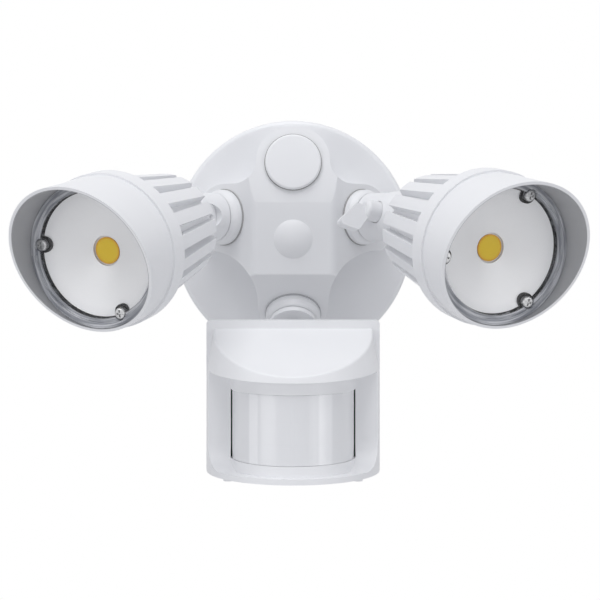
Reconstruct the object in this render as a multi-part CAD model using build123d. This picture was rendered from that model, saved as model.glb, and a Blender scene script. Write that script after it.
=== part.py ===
from build123d import *
import os
from math import cos, radians, sin, tan

# Two-lamp motion sensor security light for a wall box, in millimetres and degrees.
# Frame: the wall is the plane y = 0 and the light stands out of it towards -Y, with
# +X to the viewer's right and +Z up. The origin is the centre of the wall box pattern.
# "Depth" below always means the distance from the wall.

# ---- back plate and its raised hub ----
plate_radius = 63.5
plate_face = 7.0             # depth of the plate's flat front
plate_wall = 2.2
plate_round = 2.6
gasket_thickness = 2.0
gasket_width = 5.5
gasket_inset = 1.5           # gasket edge inside the plate's rim
hub_depth = 36.0             # depth of the hub's flat front
hub_wall = 2.6
hub_flat_half_width = 21.0   # the side facets start here
hub_flat_rise = 7.4          # lamp ports to where the upper facet starts
hub_flat_drop = 29.7         # lamp ports to where the lower facet starts
side_slope = 45.0
lower_slope = 42.0
upper_slope = 8.0
top_lobe_half_width = 19.0
top_lobe_end = 58.0
side_lobe_half_height = 17.5
side_lobe_end = 50.5
bottom_lobe_half_width = 18.6
bottom_lobe_end = 51.5
lower_corner_radius = 26.5
upper_corner_radius = 12.0
top_end_radius = 17.0
bottom_end_radius = 16.5
side_end_upper_radius = 14.0
side_end_lower_radius = 4.5
hub_edge_round = 1.2         # above and below the flat front
hub_side_round = 6.0         # where the flat front bends into the side facets

# ---- ports: threaded holes that take an arm or a plug ----
port_height = 11.4           # lamp ports above the centre
lamp_port_x = 36.0
sensor_port_fall = 21.1      # where the lower facet starts to the sensor port
plug_height = 39.5
stem_radius = 10.0
stem_bore_radius = 6.0
port_clearance = 0.05        # stem to port and lock nut, in radius
port_boss_wall = 3.4
port_boss_length = 5.0       # from the outside of the facet
inner_nut_thickness = 3.4
inner_nut_wall = 2.0         # at the middle of each flat
stem_tail = 1.2              # stem beyond the inner nut
seal_thickness = 0.8
seal_width = 4.8
lock_nut_wall = 4.4
lock_nut_top_wall = 3.3
lock_nut_height = 5.8
nut_gap = 0.5                # lock nut to the arm's barrel
plug_cap_height = 1.8
plug_cap_round = 1.2

# ---- arms and knuckles ----
barrel_wall = 2.5            # barrel round the stem
sensor_barrel_length = 2.8   # before the sensor's arm narrows
sensor_arm_half_height = 8.0
knuckle_bulge = 0.5          # knuckle proud of the barrel
lamp_pivot_reach = 24.3      # facet to tilt pivot, along the stem
sensor_pivot_reach = 26.5
arm_bend = 20.4              # lamp arm: stem to lamp direction
cheek_gap = 1.0              # between the two cheeks, filled by the washer
arm_cheek_outside = 9.5
spot_face_clearance = 0.3    # sunk face round the lever's hub or the bolt's head
head_cheek_outside = 10.6
sweep_clearance = 0.6        # cheek to the other half, in radius
washer_radius = 9.5
washer_clearance = 0.08      # washer to the cheek it rubs on
bolt_radius = 2.5
bolt_clearance = 0.05
bolt_head_radius = 6.0
bolt_head_height = 3.0
bolt_tip = 5.0               # bolt end inside the lever's hub
lever_hub_radius = 5.4
lever_hub_length = 10.0
lever_shoulder = (-1.6, 15.2)  # away from the pivot, and out from the cheek
lever_tip = (11.2, 25.8)
lever_heel = (12.8, 13.5)
lever_crook = (6.0, 9.4)
lever_corner_round = 2.2
lever_thickness = 4.4
lever_angle = 14.0           # lever turned towards the front from straight down

# ---- lamp head, along its own axis from the reflector's edge ----
head_reach = 94.0            # tilt pivot to the reflector's edge
head_side_shift = 4.3        # lamp axis beside the arm's axis
reflector_edge_radius = 28.5
reflector_depth = 7.6
reflector_hole_radius = 7.0
reflector_wall = 1.0
emitter_radius = 6.2
emitter_depth = 8.25         # front of the emitter behind the reflector's edge
emitter_thickness = 0.6
board_side = 21.0
board_thickness = 1.6
lens_gasket_width = 1.7
lens_gasket_thickness = 1.6
lens_gasket_loop_width = 1.2  # where it passes the screws
lens_thickness = 2.4
lens_seat = 0.3              # lens back in front of the reflector's edge
lens_step_width = 2.6
lens_step_height = 1.0
lens_hood_clearance = 0.15
hood_radius = 34.7
hood_wall = 1.5
hood_back = 6.5              # hood's rear edge behind the reflector's edge
hood_middle = 14.9           # rim height on the axis
hood_rake = 11.2             # rim rises and falls by this at top and bottom
flange_lip = 1.0             # flange proud of the hood
flange_back = 16.5
flange_round = 1.0
spigot_clearance = 0.1
fin_count = 18
fin_width = 6.2
fin_front_radius = 32.6
fin_back_radius = 26.4
fin_root_front_radius = 27.6
fin_root_back_radius = 22.6
heat_sink_back = 66.0
heat_sink_skin = 5.0
back_round = 2.0
neck_radius = 11.0
wire_hole_radius = 3.0
wire_hole_offset = 17.5
lens_screw_count = 3
lens_screw_inset = 0.3       # screw circle inside the reflector's edge
lens_screw_first_angle = {"left": 49.0, "right": 76.0}
lens_screw_seat = 0.8        # lens left under a screw's head
lens_screw_boss_radius = 2.4
lens_screw_radius = 1.5
lens_screw_head_radius = 2.7
lens_screw_head_height = 1.7
lens_screw_length = 8.0
scallop_clearance = 0.3
screw_recess_width = 0.8
screw_recess_depth = 0.9

# ---- how the lamps stand in the photograph ----
left_swivel = 1.8
left_tilt = 11.9
right_swivel = -12.0
right_tilt = 14.2

# ---- sensor head: heights below its top, depths in front of its back ----
sensor_half_width = 42.6     # the front is a half circle of this radius
sensor_height = 73.5
sensor_rise = 17.1           # top above the tilt pivot
sensor_back_gap = 18.4       # tilt pivot to the back
sensor_straight_depth = 7.0  # sides run straight this far before the round front
sensor_split = 9.0           # rear case's depth
sensor_neck_height = 16.0
sensor_wall = 2.0
sensor_corner_round = 2.4
visor_start_drop = 4.0       # visor's rear edge
visor_slope = 26.1
visor_rim_height = 2.7       # at the very front
visor_edge_round = 1.2
visor_underside_slope = 4.8  # rises towards the back
visor_draft = 9.0            # its wall leans in by this
flank_from_back = 18.0
chin_height = 2.7
cove_radius = 14.0
sensor_lens_radius = 29.6
sensor_lens_centre = 16.0
sensor_lens_gap_above = 5.9  # visor's rim to the lens
sensor_lens_gap_below = 5.2  # lens to the chin
sensor_lens_wall = 1.2
sensor_lens_flange = 1.4
sensor_lens_clearance = 0.15
frame_proud = 0.6            # lens frame in front of the lens
slit_width = 0.6
slit_step = 1.5
slit_step_height = 6.0       # above the chin
circuit_board_thickness = 1.6
circuit_board_from_back = 5.6
board_side_clearance = 1.2   # to the case screws' tubes
board_top_drop = 9.1
board_bottom_gap = 5.2       # above the case's lower face
board_post_radius = 2.6
board_post_inset = 4.0
case_screw_side_inset = 4.6
case_screw_inset = 6.5       # from the case's top and bottom
case_screw_radius = 1.5
case_screw_head_radius = 2.8
case_screw_head_height = 1.8
case_boss_radius = 3.2
case_boss_length = 5.5
detector_radius = 4.6
detector_length = 8.4
light_cell_radius = 2.5
light_cell_length = 5.0
light_cell_x = 15.0
light_cell_rise = 8.0        # above the lens's lower edge
relay_size = (19.0, 12.0, 9.0)
relay_x = -16.0
relay_clearance = 0.6
knob_radius = 2.45
knob_clearance = 0.05
knob_proud = 4.6
knob_shaft_length = 8.0
knob_collar_radius = 3.1
knob_collar_height = 1.0
knob_slot_width = 0.9
knob_from_back = 12.5
knob_side_inset = 11.0

# ---- wall fixing and driver ----
strap_length = 104.0
strap_width = 20.0
strap_thickness = 1.6
strap_slot_spacing = 88.9    # standard wall box screw spacing
strap_slot_length = 12.0
strap_slot_width = 4.8
centre_screw_radius = 2.4
centre_screw_clearance = 0.3
centre_screw_head_radius = 4.6
centre_screw_head_height = 3.0
centre_screw_recess = 5.0
cap_radius = 10.0
cap_height = 2.8
cap_socket_radius = 7.2
cap_socket_clearance = 0.1
cap_skirt_wall = 1.2
ground_screw_x = -13.5
ground_screw_radius = 2.0
ground_screw_head_radius = 3.8
ground_screw_head_height = 2.2
driver_width = 30.0
driver_height = 24.0
driver_thickness = 14.0
driver_back = 3.6            # depth of its rear face
driver_bottom = 14.5
driver_wall = 1.5
driver_ear_height = 7.0
driver_ear_thickness = 2.2
driver_screw_x = 10.0
driver_screw_radius = 1.5
driver_screw_head_radius = 2.7
driver_screw_head_height = 1.6
driver_post_radius = 3.2

far = 300.0                  # longer than anything that it cuts

up = Vector(0, 0, 1)
origin = Vector(0, 0, 0)


# ---- small helpers ----
def front(depth, x=0.0, z=0.0):
    """A drawing plane parallel to the wall, seen from the front."""
    return Plane(origin=(x, -depth, z), x_dir=(1, 0, 0), z_dir=(0, -1, 0))


def prism(points, direction):
    """A closed outline of points carried a long way both ways."""
    return extrude(make_face(Polyline(*points, close=True)), far, dir=direction, both=True)


def rod(plane, radius, start, end):
    """A cylinder on a plane's own axis, between two heights."""
    return plane.offset(start) * extrude(Circle(radius), end - start)


def cone(plane, start_radius, end_radius, start, end):
    """A cone on a plane's own axis, between two heights."""
    outline = Polyline((0, start), (start_radius, start), (end_radius, end), (0, end), close=True)
    return plane * revolve(Plane.XZ * make_face(outline), Axis.Z)


def turned(plane, *points):
    """A turned piece: an outline of radius and height spun round a plane's axis."""
    outline = make_face(Polyline(*points, close=True))
    return plane * revolve(Plane.XZ * outline, Axis.Z)


def corners(outline, x, y):
    """Both mirror-image corners of an outline at a given place."""
    near = 0.01
    return [v for v in outline.vertices() if abs(abs(v.X) - x) < near and abs(v.Y - y) < near]


def edges_at_depth(shape, depth):
    """The edges that lie wholly at one depth."""
    near = 0.01
    found = ShapeList()
    for edge in shape.edges():
        box = edge.bounding_box()
        if abs(box.min.Y + depth) < near and abs(box.max.Y + depth) < near:
            found.append(edge)
    return found


def cross_recess(plane, height):
    """The cutter of a cross recess in a screw head whose top is at this height."""
    reach = 2.0 * lens_screw_head_radius * 0.62
    cutter = Box(reach, screw_recess_width, screw_recess_depth)
    cutter += Box(screw_recess_width, reach, screw_recess_depth)
    return plane.offset(height - screw_recess_depth / 2) * cutter


# ---- places worked out from the sizes above ----
side_fall = tan(radians(side_slope))
lower_fall = tan(radians(lower_slope))
upper_fall = tan(radians(upper_slope))
lamp_port_depth = hub_depth - (lamp_port_x - hub_flat_half_width) * side_fall
hub_flat_bottom = port_height - hub_flat_drop
sensor_port_drop = sensor_port_fall - hub_flat_bottom
sensor_port_depth = hub_depth - sensor_port_fall * lower_fall
hub_flat_top = port_height + hub_flat_rise
plug_depth = hub_depth - (plug_height - hub_flat_top) * upper_fall
seal_top = seal_thickness
lock_nut_top = seal_top + lock_nut_height
barrel_start = lock_nut_top + nut_gap
stem_end = -(port_boss_length + inner_nut_thickness + stem_tail)
port_boss_radius = stem_radius + port_boss_wall
inner_nut_across_flats = 2 * (stem_radius + inner_nut_wall)
seal_radius = stem_radius + seal_width
lock_nut_radius = stem_radius + lock_nut_wall
lock_nut_top_radius = stem_radius + lock_nut_top_wall
barrel_radius = stem_radius + barrel_wall
knuckle_radius = barrel_radius + knuckle_bulge
driver_front = driver_back + driver_thickness
driver_ear_front = driver_back + driver_ear_thickness


class Knuckle:
    """Where one arm stands: its port, stem, pivot and the plane of each."""

    def __init__(self, port, stem, pivot_reach, hinge, swivel, reach, head_side=1):
        """head_side is the way along the hinge in which the head's cheek lies."""
        spin = Axis(origin, stem)
        self.port = Vector(port)
        self.stem = stem
        self.pivot_reach = pivot_reach
        self.hinge = hinge.rotate(spin, swivel)
        self.reach = reach.rotate(spin, swivel)
        self.pivot = self.port + stem * pivot_reach
        self.port_plane = Plane(origin=self.port, x_dir=self.hinge.cross(stem), z_dir=stem)
        self.hinge_plane = Plane(origin=self.pivot, x_dir=self.reach, z_dir=self.hinge * head_side)
        self.bolt_plane = Plane(origin=self.pivot, x_dir=self.reach, z_dir=self.hinge)
        self.rise = self.reach.cross(self.hinge)
        head_face = head_cheek_outside + washer_clearance
        self.bolt_seat = head_face if head_side > 0 else arm_cheek_outside
        self.lever_seat = arm_cheek_outside if head_side > 0 else head_face
        self.spot_radius = lever_hub_radius if head_side > 0 else bolt_head_radius

    def lever_plane(self):
        """Local x points along the lever's spread, and z away from the cheek."""
        down = self.rise * -1
        spread = down.rotate(Axis(origin, self.hinge), -lever_angle)
        return Plane(origin=self.pivot, x_dir=spread, z_dir=self.hinge * -1)


def lamp_knuckle(side, swivel):
    """side is -1 for the left lamp and 1 for the right lamp.

    The arm's own cheek faces the viewer on both sides."""
    slope = radians(side_slope)
    yaw = radians(side_slope - arm_bend)
    stem = Vector(side * sin(slope), -cos(slope), 0)
    reach = Vector(side * sin(yaw), -cos(yaw), 0)
    hinge = Vector(cos(yaw), side * sin(yaw), 0)
    port = (side * lamp_port_x, -lamp_port_depth, port_height)
    return Knuckle(port, stem, lamp_pivot_reach, hinge, swivel, reach, side)


def sensor_knuckle():
    slope = radians(lower_slope)
    stem = Vector(0, -cos(slope), -sin(slope))
    port = (0, -sensor_port_depth, -sensor_port_drop)
    return Knuckle(port, stem, sensor_pivot_reach, Vector(1, 0, 0), 0, Vector(0, -1, 0))


knuckles = {
    "left": lamp_knuckle(-1, left_swivel),
    "right": lamp_knuckle(1, right_swivel),
    "sensor": sensor_knuckle(),
}
slope_up = radians(upper_slope)
plug_plane = Plane(
    origin=(0, -plug_depth, plug_height),
    x_dir=(1, 0, 0),
    z_dir=(0, -cos(slope_up), sin(slope_up)),
)


def head_plane(knuckle, tilt):
    """The lamp's own plane: z forward along the beam, y up, at the reflector's edge."""
    forward = knuckle.reach.rotate(Axis(origin, knuckle.hinge), tilt)
    centre = knuckle.pivot + knuckle.hinge * head_side_shift + forward * head_reach
    return Plane(origin=centre, x_dir=knuckle.hinge, z_dir=forward)


# ---- back plate ----
def hub_outline(inset):
    """Four rounded lobes, drawn in by a wall on every side."""
    side_end = side_lobe_end - inset
    side_top = port_height + side_lobe_half_height - inset
    side_bottom = port_height - side_lobe_half_height + inset
    top_half = top_lobe_half_width - inset
    top_end = top_lobe_end - inset
    bottom_half = bottom_lobe_half_width - inset
    bottom_end = bottom_lobe_end - inset
    outline = Pos(0, port_height) * Rectangle(2 * side_end, side_top - side_bottom)
    outline += Pos(0, top_end / 2) * Rectangle(2 * top_half, top_end)
    outline += Pos(0, -bottom_end / 2) * Rectangle(2 * bottom_half, bottom_end)
    outline = fillet(corners(outline, bottom_half, side_bottom), lower_corner_radius + inset)
    outline = fillet(corners(outline, top_half, side_top), upper_corner_radius + inset)
    top_room = top_end - side_top - upper_corner_radius - inset
    top_radius = min(top_end_radius - inset, top_room - 0.1, top_half - 0.1)
    outline = fillet(corners(outline, top_half, top_end), top_radius)
    outline = fillet(corners(outline, side_end, side_top), side_end_upper_radius - inset)
    outline = fillet(corners(outline, side_end, side_bottom), side_end_lower_radius - inset)
    return fillet(corners(outline, bottom_half, -bottom_end), bottom_end_radius - inset)


def hub_body(inset, start):
    """The faceted hub from a starting depth, drawn in by a wall on every side."""
    outline = hub_outline(inset)
    body = front(start) * extrude(outline, hub_depth - inset - start)
    depth = hub_depth - inset
    half = hub_flat_half_width - inset * tan(radians(side_slope / 2))
    top = hub_flat_top - inset * tan(radians(upper_slope / 2))
    bottom = hub_flat_bottom + inset * tan(radians(lower_slope / 2))
    floor = 60.0
    side_run = (depth + floor) / side_fall
    plan = [(-half - side_run, floor), (-half, -depth), (half, -depth), (half + side_run, floor)]
    plan = make_face(Polyline(*plan, close=True))
    plan = fillet(corners(plan, half, -depth), hub_side_round - inset)
    body &= extrude(plan, far, dir=(0, 0, 1), both=True)
    lower_run = (depth + floor) / lower_fall
    upper_run = (depth + floor) / upper_fall
    profile = [(0, floor, bottom - lower_run), (0, -depth, bottom)]
    profile += [(0, -depth, top), (0, floor, top + upper_run)]
    return body & prism(profile, (1, 0, 0))


def back_plate():
    rim = front(gasket_thickness) * extrude(Circle(plate_radius), plate_face - gasket_thickness)
    rim = fillet(edges_at_depth(rim, plate_face), plate_round)
    hub = hub_body(0, gasket_thickness)
    creases = [edge for edge in edges_at_depth(hub, hub_depth) if edge.bounding_box().size.X > 1]
    hub = fillet(creases, hub_edge_round)
    shell = rim + hub
    hollow = rod(front(0), plate_radius - plate_wall, 0, plate_face - plate_wall)
    hollow += hub_body(hub_wall, 0)
    shell -= hollow
    boss_start = -port_boss_length
    for knuckle in knuckles.values():
        shell += rod(knuckle.port_plane, port_boss_radius, boss_start, -hub_wall / 2)
    shell += rod(plug_plane, port_boss_radius, boss_start, -hub_wall / 2)
    for plane in [knuckle.port_plane for knuckle in knuckles.values()] + [plug_plane]:
        shell -= rod(plane, stem_radius + port_clearance, -far / 10, far / 10)
    socket_floor = hub_depth - centre_screw_recess
    centre = rod(front(0), cap_socket_radius + 2.0, socket_floor - 3.0, hub_depth - hub_wall / 2)
    shell += centre
    for side in (-1, 1):
        post = front(0, side * driver_screw_x, driver_bottom + driver_ear_height / 2)
        shell += rod(post, driver_post_radius, driver_ear_front, hub_depth - hub_wall / 2)
        shell -= rod(post, driver_screw_radius, driver_ear_front, driver_ear_front + 8.0)
    shell -= rod(front(0), cap_socket_radius, socket_floor, far / 10 + hub_depth)
    shell -= rod(front(0), centre_screw_radius + centre_screw_clearance, 0, hub_depth)
    return shell


def wall_gasket():
    outer = plate_radius - gasket_inset
    ring = Circle(outer) - Circle(outer - gasket_width)
    return front(0) * extrude(ring, gasket_thickness)


def mounting_strap():
    outline = Rectangle(strap_length, strap_width)
    outline = fillet(outline.vertices(), strap_width / 4)
    outline -= Circle(centre_screw_radius)
    outline -= Pos(ground_screw_x, 0) * Circle(ground_screw_radius)
    for side in (-1, 1):
        slot = SlotOverall(strap_slot_length, strap_slot_width)
        outline -= Pos(side * strap_slot_spacing / 2, 0) * slot
    return front(0) * extrude(outline, strap_thickness)


def centre_screw():
    seat = hub_depth - centre_screw_recess
    screw = rod(front(0), centre_screw_radius, 0, seat)
    screw += rod(front(0), centre_screw_head_radius, seat, seat + centre_screw_head_height)
    return screw - cross_recess(front(0), seat + centre_screw_head_height)


def centre_cap():
    """A shallow dome with a skirt that presses into the socket."""
    ball = (cap_radius ** 2 + cap_height ** 2) / (2 * cap_height)
    dome = Pos(0, -(hub_depth + cap_height - ball), 0) * Sphere(ball)
    dome &= rod(front(0), cap_radius, hub_depth, hub_depth + 2 * cap_height)
    outer = cap_socket_radius - cap_socket_clearance
    skirt = rod(front(0), outer, hub_depth - 3.0, hub_depth)
    skirt -= rod(front(0), outer - cap_skirt_wall, hub_depth - 3.0, hub_depth)
    return dome + skirt


def ground_screw():
    plane = front(0, ground_screw_x, 0)
    screw = rod(plane, ground_screw_radius, 0, strap_thickness)
    top = strap_thickness + ground_screw_head_height
    screw += rod(plane, ground_screw_head_radius, strap_thickness, top)
    return screw - cross_recess(plane, top)


def driver_case():
    """Open-backed box for the driver, with a screw ear at its lower end."""
    body_bottom = driver_bottom + driver_ear_height
    middle = (0, body_bottom + driver_height / 2)
    outer = Rectangle(driver_width, driver_height)
    outer = front(driver_back) * Pos(*middle) * extrude(outer, driver_thickness)
    outer = fillet(edges_at_depth(outer, driver_front), 1.2)
    inner = Rectangle(driver_width - 2 * driver_wall, driver_height - 2 * driver_wall)
    outer -= front(driver_back) * Pos(*middle) * extrude(inner, driver_thickness - driver_wall)
    ear = Pos(0, driver_bottom + driver_ear_height / 2) * Rectangle(driver_width - 4.0, driver_ear_height)
    for side in (-1, 1):
        hole = Pos(side * driver_screw_x, driver_bottom + driver_ear_height / 2)
        ear -= hole * Circle(driver_screw_radius + 0.2)
    return outer + front(driver_back) * extrude(ear, driver_ear_thickness)


def driver_potting():
    """The set resin that fills the driver's case."""
    middle = (0, driver_bottom + driver_ear_height + driver_height / 2)
    fill = Rectangle(driver_width - 2 * driver_wall, driver_height - 2 * driver_wall)
    return front(driver_back) * Pos(*middle) * extrude(fill, driver_thickness - driver_wall)


def driver_screws():
    screws = []
    for side in (-1, 1):
        plane = front(0, side * driver_screw_x, driver_bottom + driver_ear_height / 2)
        head_back = driver_back - driver_screw_head_height
        screw = rod(plane, driver_screw_head_radius, head_back, driver_back)
        screw += rod(plane, driver_screw_radius, driver_back, driver_ear_front + 6.0)
        screws.append(screw)
    return Compound(children=screws)


# ---- ports ----
def port_seal(plane):
    ring = Circle(seal_radius) - Circle(stem_radius + port_clearance)
    return plane * extrude(ring, seal_thickness)


def lock_nut(plane):
    """A round tapered nut with a softened front edge."""
    nut = turned(
        plane,
        (stem_radius + port_clearance, seal_top),
        (lock_nut_radius, seal_top),
        (lock_nut_radius, seal_top + lock_nut_height * 0.45),
        (lock_nut_top_radius, lock_nut_top - 0.8),
        (lock_nut_top_radius - 0.8, lock_nut_top),
        (stem_radius + port_clearance, lock_nut_top),
    )
    return nut


def inner_nut(plane):
    top = -port_boss_length
    hexagon = RegularPolygon(inner_nut_across_flats / 2, 6, major_radius=False)
    hexagon -= Circle(stem_radius)
    return plane.offset(top - inner_nut_thickness) * extrude(hexagon, inner_nut_thickness)


def port_plug():
    """A blanking cap on a hollow threaded stem."""
    cap = rod(plug_plane, lock_nut_radius, seal_top, seal_top + plug_cap_height)
    rim = cap.edges().sort_by(Axis(plug_plane.origin, plug_plane.z_dir))[-1]
    cap = fillet(rim, plug_cap_round)
    stem = rod(plug_plane, stem_radius, stem_end, seal_top)
    stem -= rod(plug_plane, stem_bore_radius, stem_end, -1.0)
    return cap + stem


# ---- arms ----
def arm(knuckle):
    """Hollow stem, round barrel and one cheek of the tilting knuckle."""
    plane = knuckle.port_plane
    hinge = knuckle.hinge_plane
    body = rod(plane, barrel_radius, barrel_start, knuckle.pivot_reach)
    if knuckle is knuckles["sensor"]:
        body &= hinge * Box(far, 2 * sensor_arm_half_height, far)
        body += rod(plane, barrel_radius, barrel_start, barrel_start + sensor_barrel_length)
    body += Pos(*knuckle.pivot) * Sphere(knuckle_radius)
    body += rod(plane, stem_radius, stem_end, barrel_start)
    swept = knuckle_radius + sweep_clearance
    body -= rod(hinge, swept, -cheek_gap / 2, far / 5)
    spot_radius = knuckle.spot_radius + spot_face_clearance
    body -= rod(hinge, spot_radius, -far / 5, -arm_cheek_outside)
    body -= rod(plane, stem_bore_radius, stem_end, barrel_start)
    body -= rod(hinge, bolt_radius, -far / 10, far / 10)
    return body


def friction_washer(knuckle):
    ring = Circle(washer_radius) - Circle(bolt_radius)
    low = -cheek_gap / 2
    high = cheek_gap / 2 - washer_clearance
    return knuckle.hinge_plane.offset(low) * extrude(ring, high - low)


def tilt_bolt(knuckle):
    plane = knuckle.bolt_plane
    seat = knuckle.bolt_seat
    bolt = rod(plane, bolt_radius, -knuckle.lever_seat - bolt_tip, seat)
    head = rod(plane, bolt_head_radius, seat, seat + bolt_head_height)
    socket = extrude(RegularPolygon(bolt_radius * 0.9, 6), bolt_head_height)
    return bolt + head - plane.offset(seat + bolt_head_height / 2) * socket


def clamp_lever(knuckle):
    """A thumb lever: a threaded hub with one broad blade off its outer end."""
    plane = knuckle.lever_plane()
    base = knuckle.lever_seat
    hub_end = base + lever_hub_length
    hub = rod(plane, lever_hub_radius, base, hub_end)
    hub = fillet(hub.edges().sort_by(Axis(plane.origin, plane.z_dir))[-1], lever_corner_round)
    places = [(0, base + lever_corner_round)]
    for away, out in (lever_crook, lever_heel, lever_tip, lever_shoulder):
        places.append((away, base + out))
    face = make_face(Polyline(*places, close=True))
    outer = face.vertices().sort_by(Axis.Y)[-3:]
    face = fillet(outer, lever_corner_round)
    blade = extrude(Plane.XZ * face, lever_thickness / 2, both=True)
    lever = hub + plane * blade
    return lever - rod(plane, bolt_radius, base, base + bolt_tip)


# ---- lamp head: local z forward, local y up, origin at the reflector's edge ----
hood_inner_radius = hood_radius - hood_wall
flange_radius = hood_radius + flange_lip
lens_screw_circle = reflector_edge_radius - lens_screw_inset
spigot_radius = hood_inner_radius - spigot_clearance
cup_radius = reflector_edge_radius + lens_gasket_width
gasket_loop_radius = lens_screw_boss_radius + scallop_clearance + lens_gasket_loop_width
board_front = -(emitter_depth + emitter_thickness)
cup_floor = board_front - board_thickness
lens_front = lens_seat + lens_thickness
lens_pocket_floor = lens_seat + lens_screw_seat
lens_screw_end = lens_pocket_floor - lens_screw_length
pivot_height = -head_reach


def screw_places(side):
    """The lens screws' places round the lamp's axis; each lamp's ring stands turned its own way."""
    step = 360.0 / lens_screw_count
    for count in range(lens_screw_count):
        angle = radians(lens_screw_first_angle[side] + count * step)
        yield Pos(lens_screw_circle * cos(angle), lens_screw_circle * sin(angle), 0)


def heat_sink(side):
    """Finned casting with a cup for the light source and a cheek on its neck."""
    flange = turned(
        Plane.XY,
        (0, -flange_back),
        (flange_radius - flange_round, -flange_back),
        (flange_radius, -flange_back + flange_round),
        (flange_radius, -hood_back),
        (0, -hood_back),
    )
    body = flange + rod(Plane.XY, spigot_radius, -hood_back, 0)
    fins = cone(Plane.XY, fin_back_radius, fin_front_radius, -heat_sink_back, -flange_back)
    back_edge = fins.edges().sort_by(Axis.Z)[0]
    fins = fillet(back_edge, back_round)
    ribs = []
    for count in range(fin_count):
        turn = count * 360.0 / fin_count
        blade = Pos(fin_front_radius, 0, -heat_sink_back / 2)
        ribs.append(Rot(0, 0, turn) * blade * Box(2 * fin_front_radius, fin_width, 2 * heat_sink_back))
    spokes = ribs[0]
    for rib in ribs[1:]:
        spokes += rib
    fins &= spokes
    core_back = -heat_sink_back + 1.0
    core = cone(Plane.XY, fin_root_back_radius, fin_root_front_radius, core_back, -flange_back)
    body += fins
    body += core
    body += lamp_neck(-1 if side == "left" else 1)
    posts = scallops(side, lens_screw_boss_radius)
    posts &= rod(Plane.XY, far / 5, cup_floor, lens_seat)
    body -= rod(Plane.XY, cup_radius, cup_floor, far / 10) - posts
    body -= rod(Plane.XY, far / 5, 0, far / 5) - posts
    space = cone(
        Plane.XY,
        fin_root_back_radius - heat_sink_skin,
        fin_root_front_radius - heat_sink_skin,
        -heat_sink_back + heat_sink_skin,
        cup_floor - heat_sink_skin,
    )
    body -= space
    wire_hole = Pos(0, wire_hole_offset, 0) * Plane.XY
    body -= rod(wire_hole, wire_hole_radius, cup_floor - 2 * heat_sink_skin, cup_floor)
    for place in screw_places(side):
        body -= rod(place * Plane.XY, lens_screw_radius, lens_screw_end, lens_seat)
    return body


def lamp_neck(head_side):
    """Neck and cheek, kept clear of the arm's half of the knuckle."""
    middle = (-head_side_shift, 0, pivot_height)
    pivot = Plane(origin=middle, x_dir=(0, 0, 1), z_dir=(head_side, 0, 0))
    neck = rod(Plane.XY, neck_radius, pivot_height, -heat_sink_back + 1.5)
    neck += Pos(-head_side_shift, 0, pivot_height) * Sphere(knuckle_radius)
    swept = knuckle_radius + sweep_clearance
    neck -= rod(pivot, swept, -far / 5, cheek_gap / 2)
    neck -= rod(pivot, swept, head_cheek_outside, far / 5)
    neck -= rod(pivot, bolt_radius + bolt_clearance, -far / 10, far / 10)
    return neck


def emitter_board():
    plate = Rectangle(board_side, board_side)
    plate = fillet(plate.vertices(), 2.0)
    return Pos(0, 0, cup_floor) * extrude(plate, board_thickness)


def emitter():
    return rod(Plane.XY, emitter_radius, board_front, board_front + emitter_thickness)


def scallops(side, radius):
    """Three long rods on the lens screws' axes."""
    cut = [rod(place * Plane.XY, radius, -far / 10, far / 10) for place in screw_places(side)]
    return cut[0] + cut[1] + cut[2]


def reflector(side):
    """Shallow cone with notches round the screw posts."""
    wall = reflector_wall
    cup = turned(
        Plane.XY,
        (reflector_hole_radius, -reflector_depth),
        (reflector_edge_radius, 0),
        (reflector_edge_radius, -wall),
        (reflector_hole_radius + wall, -reflector_depth - wall * 0.9),
        (reflector_hole_radius, -reflector_depth - wall * 0.9),
    )
    return cup - scallops(side, gasket_loop_radius)


def lens_gasket(side):
    """Soft ring round the reflector's edge that follows the screw notches."""
    inner = reflector_edge_radius
    ring = rod(Plane.XY, cup_radius, -lens_gasket_thickness, lens_seat)
    ring -= rod(Plane.XY, inner, -lens_gasket_thickness, lens_seat)
    loops = scallops(side, gasket_loop_radius)
    loops &= rod(Plane.XY, cup_radius, -lens_gasket_thickness, lens_seat)
    ring += loops
    return ring - scallops(side, lens_screw_boss_radius + scallop_clearance)


def lamp_lens(side):
    """Clear disc with a raised step round its edge, drilled for the screws."""
    outer = hood_inner_radius - lens_hood_clearance
    lens = rod(Plane.XY, outer, lens_seat, lens_front)
    step = rod(Plane.XY, outer, lens_front, lens_front + lens_step_height)
    step -= rod(Plane.XY, outer - lens_step_width, lens_front, lens_front + lens_step_height)
    lens += step
    pockets = scallops(side, lens_screw_head_radius + scallop_clearance)
    pockets &= rod(Plane.XY, far / 5, lens_pocket_floor, far / 5)
    return lens - pockets - scallops(side, lens_screw_radius + 0.2)


def lens_screws(side):
    screws = []
    for place in screw_places(side):
        plane = place * Plane.XY
        top = lens_pocket_floor + lens_screw_head_height
        screw = rod(plane, lens_screw_radius, lens_screw_end, lens_pocket_floor)
        head = rod(plane, lens_screw_head_radius, lens_pocket_floor, top)
        head = fillet(head.edges().sort_by(Axis.Z)[-1], 0.7)
        screws.append(screw + head - cross_recess(plane, top))
    return Compound(children=screws)


def hood():
    """Tube whose rim leans forward at the top."""
    top = hood_middle + hood_rake + 5.0
    tube = rod(Plane.XY, hood_radius, -hood_back, top) - rod(Plane.XY, hood_inner_radius, -hood_back, top)
    rake = hood_rake / hood_radius
    reach = 2 * hood_radius
    low = (0, -reach, hood_middle - rake * reach)
    high = (0, reach, hood_middle + rake * reach)
    keep = prism([low, high, (0, reach, -reach), (0, -reach, -reach)], (1, 0, 0))
    return tube & keep


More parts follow.
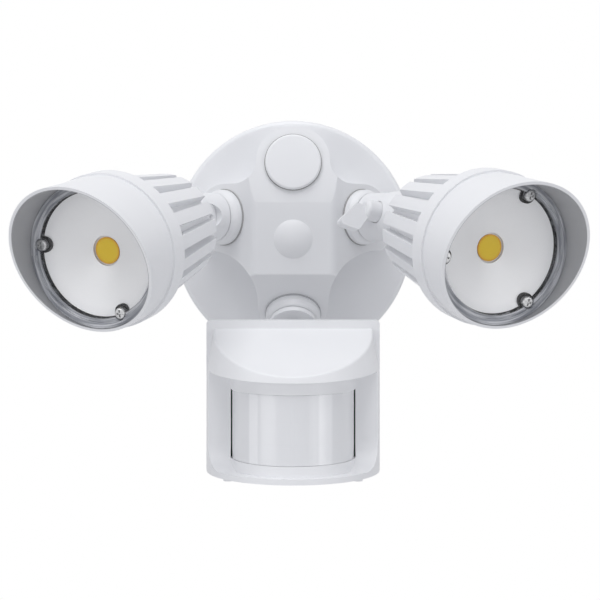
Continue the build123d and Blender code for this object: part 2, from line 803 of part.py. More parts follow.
# ---- sensor head: drawn in the object's own frame ----
sensor_pivot = knuckles["sensor"].pivot
sensor_top = sensor_pivot.Z + sensor_rise
sensor_bottom = sensor_top - sensor_height
sensor_back_depth = sensor_back_gap - sensor_pivot.Y
sensor_split_depth = sensor_back_depth + sensor_split
sensor_centre_depth = sensor_back_depth + sensor_straight_depth
flank_depth = sensor_back_depth + flank_from_back
chin_top = sensor_bottom + chin_height
visor_back_top = sensor_top - visor_start_drop
upper_screw_height = visor_back_top - case_screw_inset
underside_fall = tan(radians(visor_underside_slope))
visor_fall = tan(radians(visor_slope))
sensor_front_depth = sensor_centre_depth + sensor_half_width
visor_front_top = visor_back_top - (sensor_front_depth - sensor_split_depth) * visor_fall
draft_start = visor_front_top - visor_rim_height
visor_underside_back = draft_start + (sensor_front_depth - flank_depth) * underside_fall
sensor_lens_centre_depth = sensor_back_depth + sensor_lens_centre
sensor_lens_top = draft_start - sensor_lens_gap_above
sensor_lens_bottom = chin_top + sensor_lens_gap_below
case_screw_x = sensor_half_width - case_screw_side_inset
circuit_board_depth = sensor_back_depth + circuit_board_from_back
board_face = circuit_board_depth + circuit_board_thickness
board_top = sensor_top - board_top_drop
board_bottom = sensor_bottom + board_bottom_gap
draft_at_screw = (upper_screw_height - draft_start) * tan(radians(visor_draft))
board_half_width = case_screw_x - draft_at_screw - case_boss_radius - board_side_clearance
knob_depth = sensor_back_depth + knob_from_back
knob_side = sensor_half_width - knob_side_inset
knob_x = {"sensitivity_knob": -knob_side, "time_knob": 0.0, "light_level_knob": knob_side}


def round_front(inset, low, high):
    """The sensor's round-fronted block between two heights, drawn in by a wall."""
    radius = sensor_half_width - inset
    shape = Pos(0, -sensor_centre_depth) * Circle(radius)
    shape += Pos(0, -sensor_centre_depth / 2) * Rectangle(2 * radius, sensor_centre_depth)
    block = Pos(0, 0, sensor_bottom) * extrude(shape, draft_start - sensor_bottom)
    block += Pos(0, 0, draft_start) * extrude(shape, sensor_top - draft_start, taper=visor_draft)
    return block & slab(-far, far, far, low, high)


def wall_shift(height):
    """How far the leaning wall stands in at a height."""
    return max(0.0, (height - draft_start) * tan(radians(visor_draft)))


def slab(depth_from, depth_to, half_width, low, high):
    """A plain block between two depths and two heights."""
    middle = (0, -(depth_from + depth_to) / 2, (low + high) / 2)
    return Pos(*middle) * Box(2 * half_width, depth_to - depth_from, high - low)


def under_visor_plane(drop):
    """Everything below the visor's sloping top, lowered by a wall."""
    start = (0, 0, visor_back_top - drop + sensor_split_depth * visor_fall)
    end = (0, -far, visor_back_top - drop - (far - sensor_split_depth) * visor_fall)
    return prism([start, end, (0, -far, -far * 2), (0, 0, -far * 2)], (1, 0, 0))


def flank_cutter():
    """The space in front of the flank panels, ending in a cove on the chin."""
    panel = (-flank_depth, chin_top + cove_radius)
    toe = (-flank_depth - cove_radius, chin_top)
    top_back = (-flank_depth, visor_underside_back)
    top_front = (-far, visor_underside_back - (far - flank_depth) * underside_fall)
    low_front = (-far, chin_top)
    centre = (-flank_depth - cove_radius, chin_top + cove_radius)
    lines = [Line(top_front, top_back), Line(top_back, panel)]
    lines.append(Line(toe, low_front))
    lines.append(Line(low_front, top_front))
    middle = (centre[0] + cove_radius * cos(radians(45)), centre[1] - cove_radius * sin(radians(45)))
    lines.append(ThreePointArc(panel, middle, toe))
    face = Plane.YZ * make_face(lines)
    return extrude(face, far, dir=(1, 0, 0), both=True)


def lens_round(radius, low, high):
    """A half-round block on the sensor lens's own axis, reaching back to the split."""
    shape = Pos(0, -sensor_lens_centre_depth) * Circle(radius)
    shape &= Pos(0, -sensor_lens_centre_depth - far / 2) * Rectangle(far, far)
    back = (sensor_lens_centre_depth + sensor_split_depth) / 2
    run = sensor_lens_centre_depth - sensor_split_depth
    shape += Pos(0, -back) * Rectangle(2 * radius, run)
    return Pos(0, 0, low) * extrude(shape, high - low)


def case_screw_places():
    for side in (-1, 1):
        for height in (sensor_bottom + case_screw_inset, upper_screw_height):
            yield side * (case_screw_x - wall_shift(height)), height


def front_case():
    """Visor, flanks, chin and the frame round the sensor lens."""
    body = round_front(0, sensor_bottom, sensor_top)
    body &= under_visor_plane(0)
    body -= slab(-far, sensor_split_depth, far, -far, far)
    crest = [edge for edge in body.edges() if edge.bounding_box().max.Z > draft_start + 1]
    crest = [edge for edge in crest if edge.bounding_box().size.Z > visor_start_drop]
    crest = [edge for edge in crest if edge.bounding_box().size.X > sensor_half_width]
    body = fillet(crest, visor_edge_round)
    body -= flank_cutter()
    frame_radius = sensor_lens_radius + frame_proud
    body += lens_round(frame_radius, chin_top, visor_underside_back)
    wall = sensor_wall
    floor = visor_underside_back + wall
    hollow = round_front(wall, floor, sensor_top)
    hollow &= under_visor_plane(wall / cos(radians(visor_slope)))
    low = sensor_bottom + wall
    hollow += slab(0, flank_depth - wall, sensor_half_width - wall, low, floor)
    flange_low = sensor_lens_bottom - sensor_lens_flange
    flange_high = sensor_lens_top + sensor_lens_flange
    hollow += lens_round(lens_inner_radius, flange_low, flange_high)
    body -= hollow
    window = lens_round(far / 10 + sensor_lens_radius, sensor_lens_bottom, sensor_lens_top)
    window &= slab(sensor_lens_centre_depth, far, sensor_lens_radius + slit_width, -far, far)
    body -= window
    for side in (-1, 1):
        x = side * (sensor_lens_radius + slit_width / 2 + slit_step)
        low_slit = Pos(x, -flank_depth, chin_top + slit_step_height / 2)
        body -= low_slit * Box(slit_width * 0.7, 1.6, slit_step_height)
    for x, z in case_screw_places():
        boss = front(0, x, z)
        body += rod(boss, case_boss_radius, sensor_split_depth, sensor_split_depth + case_boss_length)
        body -= rod(boss, case_screw_radius, sensor_split_depth, sensor_split_depth + case_boss_length)
    for x in knob_x.values():
        hole = Plane(origin=(x, -knob_depth, sensor_bottom), x_dir=(1, 0, 0), z_dir=(0, 0, 1))
        body -= rod(hole, knob_radius + knob_clearance, 0, wall)
    return body


lens_inner_radius = sensor_lens_radius - sensor_lens_wall


def sensor_lens():
    """Half-round milky window with a flange behind the frame."""
    gap = sensor_lens_clearance
    low = sensor_lens_bottom + gap
    high = sensor_lens_top - gap
    outer = lens_round(sensor_lens_radius, low, high)
    outer -= lens_round(lens_inner_radius, low, high)
    flange_low = sensor_lens_bottom - sensor_lens_flange + gap
    flange_high = sensor_lens_top + sensor_lens_flange - gap
    outer += lens_round(lens_inner_radius - gap, flange_low, flange_high) - lens_round(
        lens_inner_radius - sensor_lens_wall, flange_low, flange_high
    )
    bridge = lens_round(lens_inner_radius, low, high) - lens_round(lens_inner_radius - gap, low, high)
    lens = outer + bridge
    return lens & slab(sensor_lens_centre_depth, far, far, -far, far)


def rear_case():
    """The half of the sensor's case that carries the knuckle and the circuit board."""
    body = slab(sensor_back_depth, sensor_split_depth, sensor_half_width, sensor_bottom, sensor_top)
    upright = [edge for edge in body.edges() if edge.bounding_box().size.Z > far / 10]
    rear = [edge for edge in upright if edge.bounding_box().max.Y > -sensor_back_depth - 0.01]
    body = fillet(rear, sensor_corner_round)
    top = [edge for edge in body.edges() if edge.bounding_box().min.Z > sensor_top - 1]
    top = [edge for edge in top if edge.bounding_box().size.Y > 4]
    body = fillet(top, sensor_corner_round * 0.7)
    wall = sensor_wall
    low = sensor_bottom + wall
    high = visor_back_top - wall
    low_half = sensor_half_width - wall
    high_half = low_half - wall_shift(high)
    outline = [(-low_half, low), (low_half, low), (low_half, draft_start), (high_half, high)]
    outline += [(-high_half, high), (-low_half, draft_start)]
    hollow = extrude(make_face(Polyline(*outline, close=True)), sensor_split)
    body -= front(sensor_back_depth + wall) * hollow
    knuckle = knuckles["sensor"]
    hinge = knuckle.hinge_plane
    pivot_depth = -knuckle.pivot.Y
    neck_width = head_cheek_outside - cheek_gap / 2
    neck_plane = front(pivot_depth, head_cheek_outside - neck_width / 2, knuckle.pivot.Z)
    neck_outline = Rectangle(neck_width, sensor_neck_height)
    cheek = neck_plane * extrude(neck_outline, sensor_back_depth + wall / 2 - pivot_depth)
    cheek += Pos(*knuckle.pivot) * Sphere(knuckle_radius)
    swept = knuckle_radius + sweep_clearance
    cheek -= rod(hinge, swept, -far / 5, cheek_gap / 2)
    cheek -= rod(hinge, swept, head_cheek_outside, far / 5)
    body += cheek
    body -= rod(hinge, bolt_radius + bolt_clearance, -far / 10, far / 10)
    post_x = board_half_width - board_post_inset
    for x in (-post_x, post_x):
        for z in (board_bottom + board_post_inset, board_top - board_post_inset):
            post = front(0, x, z)
            body += rod(post, board_post_radius, sensor_back_depth + wall / 2, circuit_board_depth)
    for x, z in case_screw_places():
        tube = front(0, x, z)
        body += rod(tube, case_boss_radius, sensor_back_depth + wall / 2, sensor_split_depth)
        body -= rod(tube, case_screw_radius + 0.2, 0, sensor_split_depth)
    return body


def case_screws():
    screws = []
    for x, z in case_screw_places():
        plane = front(0, x, z)
        head_back = sensor_back_depth - case_screw_head_height
        screw = rod(plane, case_screw_head_radius, head_back, sensor_back_depth)
        tip = sensor_split_depth + case_boss_length - 1.0
        screw += rod(plane, case_screw_radius, sensor_back_depth, tip)
        screws.append(screw)
    return Compound(children=screws)


def circuit_board():
    plate = Rectangle(2 * board_half_width, board_top - board_bottom)
    plate = fillet(plate.vertices(), 2.0)
    plane = front(circuit_board_depth, 0, (board_top + board_bottom) / 2)
    return plane * extrude(plate, circuit_board_thickness)


def heat_detector():
    """The sensing can, with its face at the lens's focus."""
    plane = front(0, 0, (sensor_lens_top + sensor_lens_bottom) / 2)
    can = rod(plane, detector_radius, board_face, board_face + detector_length)
    can += rod(plane, detector_radius + 0.6, board_face, board_face + 1.0)
    return can


def light_cell():
    plane = front(0, light_cell_x, sensor_lens_bottom + light_cell_rise)
    return rod(plane, light_cell_radius, board_face, board_face + light_cell_length)


def relay():
    width, depth, height = relay_size
    low = visor_underside_back + sensor_wall + relay_clearance
    place = Pos(relay_x, -board_face - depth / 2, low + height / 2)
    return place * Box(width, depth, height)


def knob(x):
    """A turning control with a screwdriver slot in its lower face."""
    plane = Plane(origin=(x, -knob_depth, sensor_bottom), x_dir=(1, 0, 0), z_dir=(0, 0, 1))
    body = rod(plane, knob_radius, -knob_proud, sensor_wall)
    collar_low = sensor_wall + knob_clearance
    body += rod(plane, knob_radius, sensor_wall, collar_low)
    body += rod(plane, knob_collar_radius, collar_low, collar_low + knob_collar_height)
    body += rod(plane, knob_radius / 2, collar_low, knob_shaft_length)
    slot = Pos(x, -knob_depth, sensor_bottom - knob_proud)
    return body - slot * Box(2 * knob_radius * 0.8, knob_slot_width, 1.6)


# ---- every piece, by name ----
pieces = {
    "back_plate": back_plate(),
    "wall_gasket": wall_gasket(),
    "mounting_strap": mounting_strap(),
    "centre_screw": centre_screw(),
    "centre_cap": centre_cap(),
    "ground_screw": ground_screw(),
    "driver_case": driver_case(),
    "driver_potting": driver_potting(),
    "driver_screws": driver_screws(),
    "port_plug": port_plug(),
    "plug_seal": port_seal(plug_plane),
    "plug_nut": inner_nut(plug_plane),
    "rear_case": rear_case(),
    "front_case": front_case(),
    "sensor_lens": sensor_lens(),
    "case_screws": case_screws(),
    "circuit_board": circuit_board(),
    "heat_detector": heat_detector(),
    "light_cell": light_cell(),
    "relay": relay(),
}
for name, x in knob_x.items():
    pieces[name] = knob(x)
for name, knuckle in knuckles.items():
    pieces[name + "_arm"] = arm(knuckle)
    pieces[name + "_seal"] = port_seal(knuckle.port_plane)
    pieces[name + "_lock_nut"] = lock_nut(knuckle.port_plane)
    pieces[name + "_inner_nut"] = inner_nut(knuckle.port_plane)
    pieces[name + "_friction_washer"] = friction_washer(knuckle)
    pieces[name + "_tilt_bolt"] = tilt_bolt(knuckle)
    pieces[name + "_clamp_lever"] = clamp_lever(knuckle)

for side, tilt in (("left", left_tilt), ("right", right_tilt)):
    place = head_plane(knuckles[side], tilt).location
    lamp_pieces = {
        "heat_sink": heat_sink(side),
        "emitter_board": emitter_board(),
        "emitter": emitter(),
        "reflector": reflector(side),
        "lens_gasket": lens_gasket(side),
        "lens": lamp_lens(side),
        "lens_screws": lens_screws(side),
        "hood": hood(),
    }
    for name, shape in lamp_pieces.items():
        pieces[side + "_" + name] = place * shape

os.makedirs("parts", exist_ok=True)
for name, shape in pieces.items():
    export_step(shape, "parts/" + name + ".step")
print(len(pieces), "pieces")
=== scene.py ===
import bpy
import numpy as np
from mathutils import Matrix, Vector
from math import pi, radians


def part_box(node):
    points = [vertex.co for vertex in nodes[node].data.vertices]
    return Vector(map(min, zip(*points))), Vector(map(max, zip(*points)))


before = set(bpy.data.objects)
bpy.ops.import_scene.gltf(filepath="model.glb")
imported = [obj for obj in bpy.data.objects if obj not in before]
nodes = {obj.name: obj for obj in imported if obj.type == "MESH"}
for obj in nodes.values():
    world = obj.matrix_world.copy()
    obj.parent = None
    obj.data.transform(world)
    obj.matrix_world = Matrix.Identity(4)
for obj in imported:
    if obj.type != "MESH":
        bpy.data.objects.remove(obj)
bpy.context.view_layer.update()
print("frame loaded,", len(nodes), "nodes")

# view: the camera looks straight at the wall, and the shift puts the object in the picture
view = {"distance": 0.7032, "focal": 1300.0, "imageSize": 600.0, "centreX": 293.1, "centreY": 239.0,
        "sensorWidth": 36.0, "nearest": 0.01}

camera = bpy.data.objects.new("camera", bpy.data.cameras.new("camera"))
camera.data.sensor_width = view["sensorWidth"]
camera.data.lens = view["focal"] / view["imageSize"] * view["sensorWidth"]
camera.data.shift_x = 0.5 - view["centreX"] / view["imageSize"]
camera.data.shift_y = view["centreY"] / view["imageSize"] - 0.5
camera.data.clip_start = view["nearest"]
camera.location = (0, -view["distance"], 0)
camera.rotation_euler = (radians(90), 0, 0)
bpy.context.scene.collection.objects.link(camera)
bpy.context.scene.camera = camera


# a socket that adds its own Math nodes when it is used in an expression
class Signal:
    def __init__(self, graph, socket):
        self.graph = graph
        self.socket = socket

    def math(self, operation, *others):
        sockets = dict(enumerate((self,) + others))
        return self.graph.node("ShaderNodeMath", {"operation": operation}, sockets)

    def __add__(self, other):
        return self.math("ADD", other)

    def __sub__(self, other):
        return self.math("SUBTRACT", other)

    def __rsub__(self, other):
        return (self * -1.0) + other

    def __mul__(self, other):
        return self.math("MULTIPLY", other)

    def __truediv__(self, other):
        return self.math("DIVIDE", other)

    def __gt__(self, other):
        return self.math("GREATER_THAN", other)

    def __lt__(self, other):
        return self.math("LESS_THAN", other)

    __radd__ = __add__
    __rmul__ = __mul__

    # 0 below low, 1 above high, and a smooth slope between them
    def ramp(self, low, high):
        sockets = {"Value": self, "From Min": low, "From Max": high}
        return self.graph.node("ShaderNodeMapRange", {"interpolation_type": "SMOOTHSTEP"}, sockets)

    # 1 near a value and 0 beyond a half width either side of it
    def band(self, middle, halfWidth, flatShare=0.55):
        return 1.0 - (self - middle).math("ABSOLUTE").ramp(halfWidth * flatShare, halfWidth)

    # the distance to the nearest line of an even set, as a share of their pitch
    def lines(self, pitch):
        return (self / pitch).math("FRACT").math("PINGPONG", 0.5)


# a tree of nodes, where one method makes any node
class Graph:
    def __init__(self, tree):
        self.tree = tree

    def feed(self, socket, value):
        if isinstance(value, Signal):
            self.tree.links.new(value.socket, socket)
        else:
            socket.default_value = value

    def node(self, kind, settings=None, sockets=None, result=0):
        made = self.tree.nodes.new(kind)
        for key, value in (settings or {}).items():
            setattr(made, key, value)
        for key, value in (sockets or {}).items():
            self.feed(made.inputs[key], value)
        return Signal(self, made.outputs[result])


# one material with its Principled shader ready
class Finish(Graph):
    def __init__(self, name, **fixed):
        self.material = bpy.data.materials.new(name)
        self.material.use_nodes = True
        super().__init__(self.material.node_tree)
        self.shader = self.tree.nodes["Principled BSDF"]
        for key, value in fixed.items():
            self.shader.inputs[key.replace("_", " ")].default_value = value

    def place(self):
        return self.node("ShaderNodeTexCoord", result="Object")

    # places as seen from a plane of the object: x and y in it, z out of it
    def local(self, plane):
        sockets = {"Vector": self.place(), "Location": plane.to_translation(), "Rotation": plane.to_euler()}
        return self.node("ShaderNodeMapping", {"vector_type": "TEXTURE"}, sockets)

    def axes(self, place):
        apart = self.node("ShaderNodeSeparateXYZ", {}, {0: place}).socket.node
        return [Signal(self, apart.outputs[key]) for key in range(3)]

    def noise(self, scale, detail=3.0, place=None, stretch=None, fineShare=0.55):
        place = place or self.place()
        if stretch:
            place = self.node("ShaderNodeVectorMath", {"operation": "MULTIPLY"}, {0: place, 1: stretch})
        sockets = {"Vector": place, "Scale": scale, "Detail": detail, "Roughness": fineShare}
        return self.node("ShaderNodeTexNoise", {}, sockets)

    # the distance to the middle of the nearest cell
    def cells(self, scale):
        sockets = {"Vector": self.place(), "Scale": scale}
        return self.node("ShaderNodeTexVoronoi", {}, sockets, "Distance")

    # the colour inputs and result of a Mix node have the places 6, 7 and 2
    def blend(self, amount, first, second):
        sockets = {0: amount, 6: first, 7: second}
        return self.node("ShaderNodeMix", {"data_type": "RGBA"}, sockets, 2)

    def colour(self, value):
        self.feed(self.shader.inputs["Base Color"], value)

    def rough(self, value):
        self.feed(self.shader.inputs["Roughness"], value)

    # heights in metres
    def bump(self, height, strength=1.0):
        sockets = {"Height": height, "Strength": strength, "Distance": 1.0}
        self.feed(self.shader.inputs["Normal"], self.node("ShaderNodeBump", {}, sockets))

    def give(self, *names):
        for name in names:
            materials = nodes[name].data.materials
            materials.clear()
            materials.append(self.material)


def grey(value, blue=0.0):
    return (value, value + blue * 0.3, value + blue, 1.0)


sides = ("left", "right")
arms = ("left", "right", "sensor")

# powder coat: soft ripples with fine grain, and a colour that drifts a little
paint = {"bright": grey(0.86, 0.020), "dull": grey(0.81, 0.026), "drift": 22.0, "driftDetail": 4.0,
         "ripple": 900.0, "rippleHeight": 0.000012, "grain": 5200.0, "grainHeight": 0.0000022,
         "gloss": 0.36, "glossSpread": 0.16, "glossPatches": 140.0}
# moulded plastic: long flat waves, with a fine sparked texture
plastic = {"bright": grey(0.87, 0.020), "dull": grey(0.83, 0.024), "drift": 30.0, "driftDetail": 4.0,
           "ripple": 160.0, "rippleHeight": 0.000010, "grain": 4200.0, "grainHeight": 0.0000028,
           "gloss": 0.40, "glossSpread": 0.12, "glossPatches": 140.0}


def coated(name, look):
    finish = Finish(name, Specular_IOR_Level=0.5)
    drift = finish.noise(look["drift"], look["driftDetail"])
    finish.colour(finish.blend(drift, look["bright"], look["dull"]))
    finish.rough(look["gloss"] + finish.noise(look["glossPatches"]) * look["glossSpread"])
    ripple = finish.noise(look["ripple"], 1.0) * look["rippleHeight"]
    finish.bump(ripple + finish.noise(look["grain"], 1.0) * look["grainHeight"])
    return finish


castPaint = coated("castPaint", paint)
castPaint.give("back_plate", "left_heat_sink", "right_heat_sink")
for arm in arms:
    castPaint.give(arm + "_arm", arm + "_lock_nut", arm + "_clamp_lever", arm + "_tilt_bolt")
mouldedPlastic = coated("mouldedPlastic", plastic)
mouldedPlastic.give("front_case", "rear_case", "port_plug", "centre_cap")
mouldedPlastic.give("sensitivity_knob", "time_knob", "light_level_knob")
print("paint and plastic given")

# milky lens of the sensor: faint moulded cells in upright columns, and two paler strips that are painted
# reflections, each given by its middle and half its width
milky = {"colour": grey(0.80, 0.025), "stripReflection": grey(0.90, 0.025),
         "strips": ((-0.0186, 0.0026), (0.0152, 0.0040)),
         "stripPatches": 90.0, "stripLeast": 0.75, "stripSpread": 0.5,
         "columns": 11, "rowPitch": 0.0105, "grooveWidth": 0.07, "grooveHeight": 0.00004,
         "wave": 60.0, "waveHeight": 0.00004, "bumpShare": 0.35}


def milkyLens(look):
    finish = Finish("milkyLens", Roughness=0.24, Coat_Weight=0.25, Coat_Roughness=0.08,
                    Subsurface_Weight=0.25, Subsurface_Radius=(0.004, 0.004, 0.004))
    low, high = [Vector(corner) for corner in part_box("sensor_lens")]
    radius = (high.x - low.x) / 2
    x, y, z = finish.axes(finish.place())
    turn = (x / radius).math("MINIMUM", 1.0).math("MAXIMUM", -1.0).math("ARCSINE")
    column = turn.lines(pi / look["columns"])
    row = (z - low.z).lines(look["rowPitch"])
    groove = column.math("MINIMUM", row) < look["grooveWidth"]
    # painted reflection: two paler upright strips across the lens
    paleReflection = sum([x.band(middle, halfWidth) for middle, halfWidth in look["strips"]], 0.0)
    paleReflection = paleReflection * (look["stripLeast"] + finish.noise(look["stripPatches"]) * look["stripSpread"])
    finish.colour(finish.blend(paleReflection.math("MINIMUM", 1.0), look["colour"], look["stripReflection"]))
    wave = finish.noise(look["wave"]) * look["waveHeight"]
    finish.bump(wave - groove * look["grooveHeight"], look["bumpShare"])
    return finish


milkyLens(milky).give("sensor_lens")


# a lamp's own plane, from its emitter's thin direction: x across, y up, z out along the beam
def lampPlane(side):
    mesh = nodes[side + "_emitter"].data
    points = np.empty(len(mesh.vertices) * 3)
    mesh.vertices.foreach_get("co", points)
    points = points.reshape(-1, 3)
    out = Vector(np.linalg.svd(points - points.mean(0))[2][2])
    if out.y > 0:
        out = -out
    across = Vector((0, 0, 1)).cross(out).normalized()
    upward = out.cross(across)
    turn = np.array([across, upward, out])
    spread = points @ turn.T
    middle = (spread.min(0) + spread.max(0)) / 2
    centre = Vector(middle @ turn)
    return Matrix.Translation(centre) @ Matrix((across, upward, out)).transposed().to_4x4()


# painted shade: inside a hood the paint is darkened to a grey that stands in for the shadow there
hood = {**paint, "inside": grey(0.40, 0.018), "innerRadius": 0.0332, "edge": 0.0002}
reflector = {"colour": grey(0.95, 0.006), "shade": grey(0.89, 0.014), "silver": 0.16, "patches": 70.0,
             "edge": 0.0285, "edgeWidth": 0.004, "grain": 900.0, "grainHeight": 0.000003}
emitter = {"colour": (0.86, 0.60, 0.008, 1), "rim": (0.74, 0.36, 0.005, 1), "radius": 0.0062, "rimFrom": 0.78,
           "grain": 2600.0, "grainTint": 0.12, "grainHeight": 0.00002}
# the ring colour and its pale streaks are painted reflection in the lens's thick edge
clear = {"colour": grey(0.90, 0.02), "haze": 0.02,
         "edge": 0.0290, "edgeInside": 0.0006, "edgeOutside": 0.0004,
         "ring": grey(0.38, 0.05), "paleReflection": grey(0.84, 0.04), "paleFrom": 0.38, "paleTo": 0.68,
         "ringCover": 0.60, "ringCoverSpread": 0.2, "streaks": 3.2, "streakTurn": 0.5, "streakPitch": 0.0011,
         "streakHeight": 0.00005}


# distance from the lamp's axis, in metres: the root of x squared plus y squared
def radiusFrom(x, y):
    return (x * x + y * y).math("SQRT")


def hoodPaintShadedInside(side, plane, look):
    finish = coated(side + "HoodShadedInside", look)
    x, y, z = finish.axes(finish.local(plane))
    middle = look["innerRadius"] + look["edge"]
    outside = radiusFrom(x, y).ramp(middle - look["edge"] * 0.5, middle + look["edge"] * 0.5)
    coat = Signal(finish, finish.shader.inputs["Base Color"].links[0].from_socket)
    # painted shade: the inner wall of the hood takes the darker grey
    finish.colour(finish.blend(outside, look["inside"], coat))
    return finish


def whiteReflector(side, plane, look):
    finish = Finish(side + "Reflector", Roughness=0.42, Metallic=look["silver"], Specular_IOR_Level=0.5)
    x, y, z = finish.axes(finish.local(plane))
    # the reflector turns to its shade colour in random patches, which are its own tone, and in a band by its
    # rim, which is painted shade
    edge = radiusFrom(x, y).band(look["edge"], look["edgeWidth"])
    amount = finish.noise(look["patches"], 2.0) * 0.5 + edge * 0.5
    finish.colour(finish.blend(amount, look["colour"], look["shade"]))
    finish.bump(finish.noise(look["grain"], 1.0) * look["grainHeight"])
    return finish


def yellowEmitter(side, plane, look):
    finish = Finish(side + "Emitter", Roughness=0.5, Specular_IOR_Level=0.3,
                    Coat_Weight=0.15, Coat_Roughness=0.12)
    x, y, z = finish.axes(finish.local(plane))
    grain = finish.cells(look["grain"])
    rim = radiusFrom(x, y).ramp(look["radius"] * look["rimFrom"], look["radius"]) + grain * look["grainTint"]
    finish.colour(finish.blend(rim.math("MINIMUM", 1.0), look["colour"], look["rim"]))
    finish.bump(grain * look["grainHeight"])
    return finish


# clear plastic: nearly open over the reflector; in the stepped ring round it, dark grey with pale streaks is
# painted reflection, standing in for light that the thick clear edge refracts and mirrors
def clearLens(side, plane, look):
    finish = Finish(side + "Lens", Roughness=0.06, Specular_IOR_Level=0.3)
    x, y, z = finish.axes(finish.local(plane))
    radius = radiusFrom(x, y)
    turn = y.math("ARCTAN2", x)
    outward = radius / (look["streakPitch"] * look["streaks"])
    place = finish.node("ShaderNodeCombineXYZ", {}, {0: turn * look["streakTurn"], 1: outward, 2: 0.0})
    streak = finish.noise(look["streaks"], 2.0, place)
    ring = radius.ramp(look["edge"] - look["edgeInside"], look["edge"] + look["edgeOutside"])
    # painted reflection: dark and pale streaks across the ring
    ringReflectionColour = finish.blend(streak.ramp(look["paleFrom"], look["paleTo"]), look["ring"], look["paleReflection"])
    finish.colour(finish.blend(ring, look["colour"], ringReflectionColour))
    cover = look["haze"] + ring * (look["ringCover"] + streak * look["ringCoverSpread"])
    finish.feed(finish.shader.inputs["Alpha"], cover)
    finish.bump(streak * look["streakHeight"] * ring)
    return finish


for side in sides:
    plane = lampPlane(side)
    hoodPaintShadedInside(side, plane, hood).give(side + "_hood")
    whiteReflector(side, plane, reflector).give(side + "_reflector")
    yellowEmitter(side, plane, emitter).give(side + "_emitter")
    clearLens(side, plane, clear).give(side + "_lens")
print("lamp fronts given")

# metals: zinc plate and bare aluminium, with fine scratches that run one way
metals = {
    "zincPlate": {"bright": grey(0.60, 0.01), "dull": grey(0.42, 0.01), "rough": 0.26, "spread": 0.2},
    "plainAluminium": {"bright": grey(0.74), "dull": grey(0.62), "rough": 0.4, "spread": 0.15},
}
scratches = {"scale": 700.0, "detail": 4.0, "stretch": (1.0, 1.0, 6.0), "brightTo": 0.35, "dullFrom": 0.7,
             "height": 0.000004, "patches": 420.0}
metalNodes = {
    "zincPlate": ["left_lens_screws", "right_lens_screws", "mounting_strap", "centre_screw", "plug_nut",
                  "case_screws", "driver_screws"] + [arm + "_inner_nut" for arm in arms],
    "plainAluminium": ["heat_detector"],
}
for name, look in metals.items():
    metal = Finish(name, Metallic=1.0)
    scratch = metal.noise(scratches["scale"], scratches["detail"], stretch=scratches["stretch"])
    worn = scratch.ramp(scratches["brightTo"], scratches["dullFrom"])
    metal.colour(metal.blend(worn, look["bright"], look["dull"]))
    metal.rough(look["rough"] + metal.noise(scratches["patches"]) * look["spread"])
    metal.bump(scratch * scratches["height"])
    metal.give(*metalNodes[name])

# rubber, resin and small mouldings, each with its own grain
softs = {
    "blackRubber": {"bright": grey(0.035), "dull": grey(0.06), "rough": 0.62, "grain": 1800.0},
    "sealRubber": {"bright": grey(0.34), "dull": grey(0.40), "rough": 0.6, "grain": 1500.0},
    "paleSeal": {"bright": grey(0.52, 0.02), "dull": grey(0.46, 0.02), "rough": 0.55, "grain": 1500.0},
    "greyRubber": {"bright": grey(0.16), "dull": grey(0.21), "rough": 0.7, "grain": 900.0},
    "blackPlastic": {"bright": grey(0.03), "dull": grey(0.045), "rough": 0.38, "grain": 2600.0},
    "setResin": {"bright": grey(0.02), "dull": grey(0.035), "rough": 0.18, "grain": 120.0},
    "ceramic": {"bright": grey(0.92), "dull": grey(0.88), "rough": 0.4, "grain": 700.0},
    "nylon": {"bright": grey(0.72, -0.03), "dull": grey(0.64, -0.04), "rough": 0.45, "grain": 1400.0},
    "greenPaint": {"bright": (0.03, 0.22, 0.07, 1), "dull": (0.05, 0.28, 0.1, 1),
                   "rough": 0.3, "grain": 800.0},
    "cellResin": {"bright": (0.62, 0.52, 0.3, 1), "dull": (0.5, 0.4, 0.22, 1),
                  "rough": 0.12, "grain": 500.0},
}
softSurface = {"drift": 90.0, "roughPatches": 200.0, "roughSpread": 0.12, "grainHeight": 0.00001}
softNodes = {
    "blackRubber": ["left_lens_gasket", "right_lens_gasket"],
    "sealRubber": ["plug_seal", "left_seal", "right_seal"],
    "paleSeal": ["sensor_seal"],
    "greyRubber": ["wall_gasket"],
    "blackPlastic": ["relay", "driver_case"],
    "setResin": ["driver_potting"],
    "ceramic": ["left_emitter_board", "right_emitter_board"],
    "nylon": [arm + "_friction_washer" for arm in arms],
    "greenPaint": ["ground_screw"],
    "cellResin": ["light_cell"],
}
for name, look in softs.items():
    soft = Finish(name)
    soft.colour(soft.blend(soft.noise(softSurface["drift"]), look["bright"], look["dull"]))
    soft.rough(look["rough"] + soft.noise(softSurface["roughPatches"]) * softSurface["roughSpread"])
    soft.bump(soft.noise(look["grain"], 2.0) * softSurface["grainHeight"])
    soft.give(*softNodes[name])

# green board with copper runs under its lacquer and tinned dots
board = {"lacquer": (0.012, 0.12, 0.04, 1), "copper": (0.03, 0.22, 0.07, 1), "tin": grey(0.55),
         "pitch": 0.0032, "rowPitchShare": 1.7, "runWidth": 0.12, "rowWidth": 0.08, "runHeight": 0.00003,
         "wander": 120.0, "wanderWidth": 0.003, "dot": 0.0007, "dotPatches": 260.0, "dotFrom": 0.52,
         "dotHeight": 0.0001}


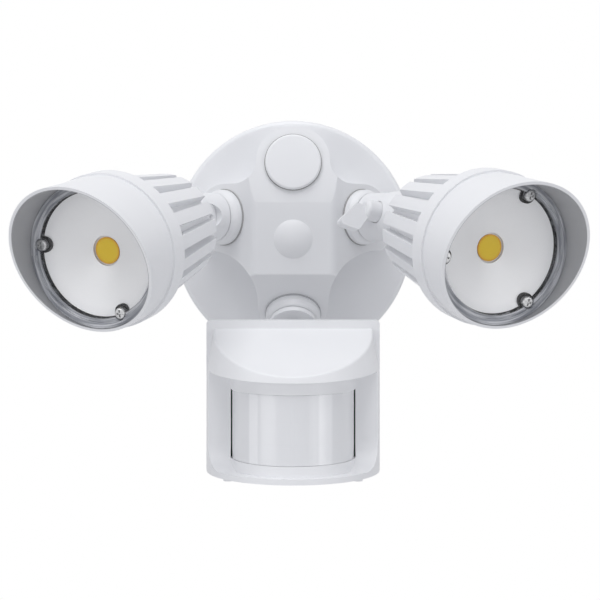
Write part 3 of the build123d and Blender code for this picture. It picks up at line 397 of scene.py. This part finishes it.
def circuitBoard(look):
    finish = Finish("circuitBoard", Roughness=0.28)
    x, y, z = finish.axes(finish.place())
    wander = finish.noise(look["wander"], 0.0) * look["wanderWidth"]
    run = (x + wander).lines(look["pitch"]) < look["runWidth"]
    row = (z + wander).lines(look["pitch"] * look["rowPitchShare"]) < look["rowWidth"]
    run = run.math("MAXIMUM", row)
    across = x.lines(look["pitch"]) * look["pitch"]
    upward = z.lines(look["pitch"]) * look["pitch"]
    chosen = finish.noise(look["dotPatches"], 0.0) > look["dotFrom"]
    dot = ((across * across + upward * upward) < look["dot"] ** 2) * chosen
    finish.colour(finish.blend(dot, finish.blend(run, look["lacquer"], look["copper"]), look["tin"]))
    finish.bump(run * look["runHeight"] + dot * look["dotHeight"])
    return finish


circuitBoard(board).give("circuit_board")
print("inner pieces given")

# floor and light: the floor ends before the camera's view reaches it
studio = {"floorHeight": -0.6, "floorLow": (-4.0, -5.0), "floorHigh": (4.0, 1.4), "floorGrey": 0.8,
          "floorFade": 0.02, "floorPatches": 6.0, "floorWhite": 0.6, "skyWhite": 1.0,
          "skyColour": (0.93, 0.94, 1.0, 1), "skyStrength": 0.48, "lampAim": (0, -0.08, 0)}

floorMesh = bpy.data.meshes.new("floor")
(lowX, lowY), (highX, highY) = studio["floorLow"], studio["floorHigh"]
corners = [(lowX, lowY), (highX, lowY), (highX, highY), (lowX, highY)]
floorMesh.from_pydata([corner + (studio["floorHeight"],) for corner in corners], [], [(0, 1, 2, 3)])
floor = bpy.data.objects.new("floor", floorMesh)
bpy.context.scene.collection.objects.link(floor)
floorFinish = Finish("floorFinish", Roughness=0.85)
floorPatches = floorFinish.noise(studio["floorPatches"])
floorGreys = (grey(studio["floorGrey"]), grey(studio["floorGrey"] - studio["floorFade"]))
floorFinish.colour(floorFinish.blend(floorPatches, *floorGreys))
floorMesh.materials.append(floorFinish.material)


# where it is seen or mirrored, a surface or sky turns this share of the way to plain white
def whiten(graph, lit, whiteKind, share, ending):
    path = graph.node("ShaderNodeLightPath").socket.node
    rays = ("Is Camera Ray", "Is Glossy Ray", "Is Transmission Ray")
    seen, mirrored, through = [Signal(graph, path.outputs[ray]) for ray in rays]
    amount = seen.math("MAXIMUM", mirrored).math("MAXIMUM", through) * share
    white = graph.node(whiteKind, {}, {"Color": (1, 1, 1, 1)})
    plain = Signal(graph, lit.outputs[0])
    mixed = graph.node("ShaderNodeMixShader", {}, {0: amount, 1: plain, 2: white})
    graph.feed(graph.tree.nodes[ending].inputs["Surface"], mixed)


whiten(floorFinish, floorFinish.shader, "ShaderNodeEmission", studio["floorWhite"], "Material Output")
world = bpy.data.worlds.new("world")
bpy.context.scene.world = world
world.use_nodes = True
air = Graph(world.node_tree)
sky = air.tree.nodes["Background"]
sky.inputs["Color"].default_value = studio["skyColour"]
sky.inputs["Strength"].default_value = studio["skyStrength"]
whiten(air, sky, "ShaderNodeBackground", studio["skyWhite"], "World Output")

lamps = {
    "topLamp": {"place": (-0.15, -0.6, 1.25), "size": 0.9, "power": 9.6},
    "leftLamp": {"place": (-1.1, -1.1, 0.0), "size": 0.8, "power": 3.7},
    "rightLamp": {"place": (1.1, -1.1, 0.0), "size": 0.8, "power": 3.3},
}
for name, lamp in lamps.items():
    light = bpy.data.lights.new(name, "AREA")
    light.size = lamp["size"]
    light.energy = lamp["power"]
    holder = bpy.data.objects.new(name, light)
    holder.location = lamp["place"]
    aim = Vector(studio["lampAim"]) - holder.location
    holder.rotation_euler = aim.to_track_quat("-Z", "Y").to_euler()
    bpy.context.scene.collection.objects.link(holder)

bpy.context.scene.view_settings.view_transform = "Standard"
print("studio ready")
